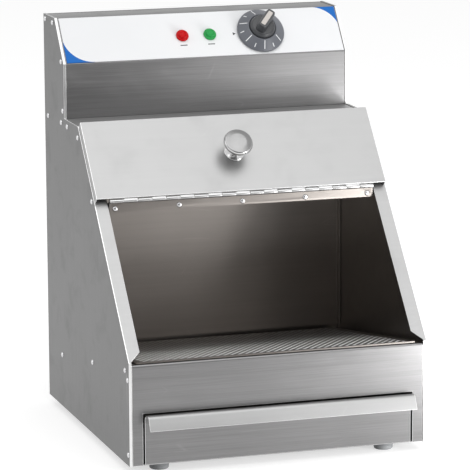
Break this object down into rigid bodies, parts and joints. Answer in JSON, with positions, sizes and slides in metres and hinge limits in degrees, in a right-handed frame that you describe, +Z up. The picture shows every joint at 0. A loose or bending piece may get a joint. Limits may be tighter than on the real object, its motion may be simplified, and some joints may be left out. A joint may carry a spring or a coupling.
{
  "type": "french fry dump station",
  "caption": "Countertop heated dump station with an open sloping hopper, hinged top lid, perforated floor plate, crumb drawer and raised control head.",
  "frame": {"origin": "centre of the footprint at the bottom of the feet", "axes": "+X to the right seen from the front, +Y from the front to the back, +Z up"},
  "size_m": [0.3326, 0.371, 0.4533],
  "materials": {
    "brushed_cabinet_steel": "stainless sheet with a fine straight brushed grain",
    "bright_sheet_steel": "brighter stainless sheet with a faint grain",
    "polished_chrome": "polished plating",
    "zinc_fixings": "plain plated steel",
    "overlay_film": "white satin film with two plain blue corner areas",
    "black_plastic": "black moulded plastic",
    "red_lens": "clear tinted plastic",
    "green_lens": "clear tinted plastic",
    "slate_knob_plastic": "dark grey moulded plastic with pale marks",
    "cream_insert": "pale plastic strip",
    "grey_foot_rubber": "grey moulded rubber",
    "element_sheath": "heat-dulled metal sheath",
    "copper_bulb": "plain copper",
    "ceramic_block": "unglazed pale insulating body",
    "wire_sleeve": "woven-look heat-proof sleeve, plain"
  },
  "bodies": {
    "cabinet": {"side_panel_left": "brushed_cabinet_steel", "side_panel_right": "brushed_cabinet_steel", "floor_rail_left": "bright_sheet_steel", "floor_rail_right": "bright_sheet_steel", "drawer_runner_left": "bright_sheet_steel", "drawer_runner_right": "bright_sheet_steel", "base_plate": "brushed_cabinet_steel", "back_panel": "brushed_cabinet_steel", "head_cover": "brushed_cabinet_steel", "deck": "brushed_cabinet_steel", "front_fascia": "brushed_cabinet_steel", "hopper_back": "bright_sheet_steel", "header_rail": "bright_sheet_steel", "back_screw_lower_left": "zinc_fixings", "back_screw_lower_middle": "zinc_fixings", "back_screw_lower_right": "zinc_fixings", "back_screw_upper_left": "zinc_fixings", "back_screw_upper_middle": "zinc_fixings", "back_screw_upper_right": "zinc_fixings", "foot_front_left": "grey_foot_rubber", "foot_front_right": "grey_foot_rubber", "foot_rear_left": "grey_foot_rubber", "foot_rear_right": "grey_foot_rubber", "foot_screw_front_left": "zinc_fixings", "foot_screw_front_right": "zinc_fixings", "foot_screw_rear_left": "zinc_fixings", "foot_screw_rear_right": "zinc_fixings", "control_overlay": "overlay_film", "red_lamp_bezel": "red_lens", "red_lamp_lens": "red_lens", "green_lamp_bezel": "green_lens", "green_lamp_lens": "green_lens", "thermostat_body": "ceramic_block", "hinge_leaf_fixed": "bright_sheet_steel", "hinge_pin": "zinc_fixings", "heating_element": "element_sheath", "element_support_front": "bright_sheet_steel", "element_support_rear": "bright_sheet_steel", "sensor_bulb": "copper_bulb", "terminal_block": "ceramic_block", "cable_gland": "black_plastic", "gland_nut": "black_plastic", "supply_wire": "wire_sleeve", "heater_wire_left": "wire_sleeve", "heater_wire_right": "wire_sleeve", "thermostat_wire": "wire_sleeve", "red_lamp_wire": "wire_sleeve", "green_lamp_wire": "wire_sleeve", "sensor_capillary": "copper_bulb"},
    "lid": {"lid_panel": "bright_sheet_steel", "hinge_leaf_lid": "bright_sheet_steel", "lid_knob": "polished_chrome", "lid_knob_screw": "zinc_fixings"},
    "dial": {"thermostat_knob": "slate_knob_plastic", "knob_insert": "cream_insert", "thermostat_spindle": "zinc_fixings"},
    "drawer": {"drawer_tray": "bright_sheet_steel", "drawer_front": "brushed_cabinet_steel"},
    "floor_plate": {"perforated_plate": "bright_sheet_steel"}
  },
  "joints": [
    {"name": "lid_hinge", "type": "hinge", "parent": "cabinet", "child": "lid", "pos_m": [0, -0.04178, 0.26923], "axis": [1, 0, 0], "range_deg": [0, 170]},
    {"name": "dial_turn", "type": "hinge", "parent": "cabinet", "child": "dial", "pos_m": [0.0674, 0.10265, 0.42413], "axis": [0, -0.7866, 0.6174], "range_deg": [-155, 125]},
    {"name": "drawer_slide", "type": "slide", "parent": "cabinet", "child": "drawer", "axis": [0, -1, 0], "range_m": [0, 0.22]},
    {"name": "floor_plate_slide", "type": "slide", "parent": "cabinet", "child": "floor_plate", "axis": [0, -0.9877, 0.1564], "range_m": [0, 0.28]}
  ]
}
